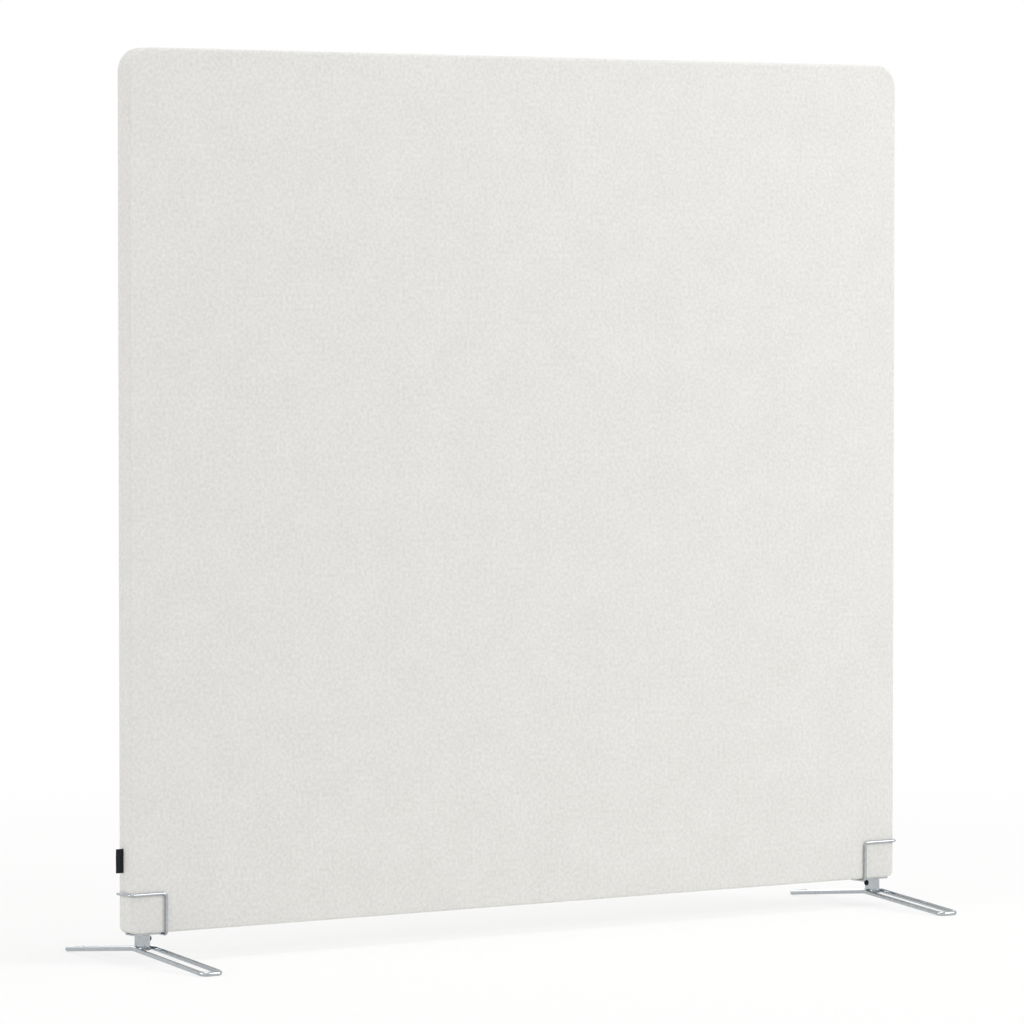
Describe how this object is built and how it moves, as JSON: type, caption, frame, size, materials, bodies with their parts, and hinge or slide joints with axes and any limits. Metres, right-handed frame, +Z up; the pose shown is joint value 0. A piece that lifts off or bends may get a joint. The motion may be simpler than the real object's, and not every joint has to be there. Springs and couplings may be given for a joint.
{
  "type": "acoustic divider screen",
  "caption": "Free-standing acoustic floor screen: thin fabric-covered absorbing panel, bright wire corner brackets, and bent rod loop feet that swivel on short clamped posts.",
  "frame": {"origin": "on the floor, under the middle of the panel", "axes": "+X along the panel's width to the right seen from the front, +Y from the front to the back, +Z up"},
  "size_m": [1.6193, 0.44, 1.5],
  "materials": {
    "cover_fabric": "matte",
    "wadding": "matte",
    "acoustic_felt": "matte",
    "frame_wood": "matte",
    "dowel_wood": "matte",
    "black_tape": "matte",
    "tab_cloth": "matte",
    "chrome": "polished",
    "stem_steel": "satin",
    "screw_steel": "satin",
    "insert_brass": "satin",
    "black_steel": "satin"
  },
  "bodies": {
    "screen": {"frame_top_rail": "frame_wood", "frame_bottom_rail": "frame_wood", "frame_left_stile": "frame_wood", "frame_right_stile": "frame_wood", "frame_mid_stile": "frame_wood", "frame_dowels": "dowel_wood", "acoustic_slab_left": "acoustic_felt", "acoustic_slab_right": "acoustic_felt", "wadding_front": "wadding", "wadding_rear": "wadding", "cover_front": "cover_fabric", "cover_rear": "cover_fabric", "touch_tape": "black_tape", "side_label_tab": "tab_cloth", "wire_bracket_left": "chrome", "wire_bracket_right": "chrome", "saddle_plate_left": "chrome", "saddle_plate_right": "chrome", "saddle_screws_left": "screw_steel", "saddle_screws_right": "screw_steel", "thread_inserts_left": "insert_brass", "thread_inserts_right": "insert_brass", "stem_left": "stem_steel", "stem_right": "stem_steel"},
    "foot_left": {"foot_post_left": "chrome", "foot_loop_left": "chrome"},
    "foot_right": {"foot_post_right": "chrome", "foot_loop_right": "chrome"},
    "clamp_left": {"clamp_screw_left": "black_steel"},
    "clamp_right": {"clamp_screw_right": "black_steel"}
  },
  "joints": [
    {"name": "foot_swivel_left", "type": "hinge", "parent": "screen", "child": "foot_left", "pos_m": [-0.7665, 0, 0.0475], "axis": [0, 0, 1], "continuous": true},
    {"name": "foot_swivel_right", "type": "hinge", "parent": "screen", "child": "foot_right", "pos_m": [0.7665, 0, 0.0475], "axis": [0, 0, 1], "continuous": true},
    {"name": "clamp_turn_left", "type": "hinge", "parent": "foot_left", "child": "clamp_left", "pos_m": [-0.7535, 0, 0.0403], "axis": [1, 0, 0], "range_deg": [0, 360]},
    {"name": "clamp_turn_right", "type": "hinge", "parent": "foot_right", "child": "clamp_right", "pos_m": [0.7535, 0, 0.0403], "axis": [-1, 0, 0], "range_deg": [0, 360]}
  ]
}
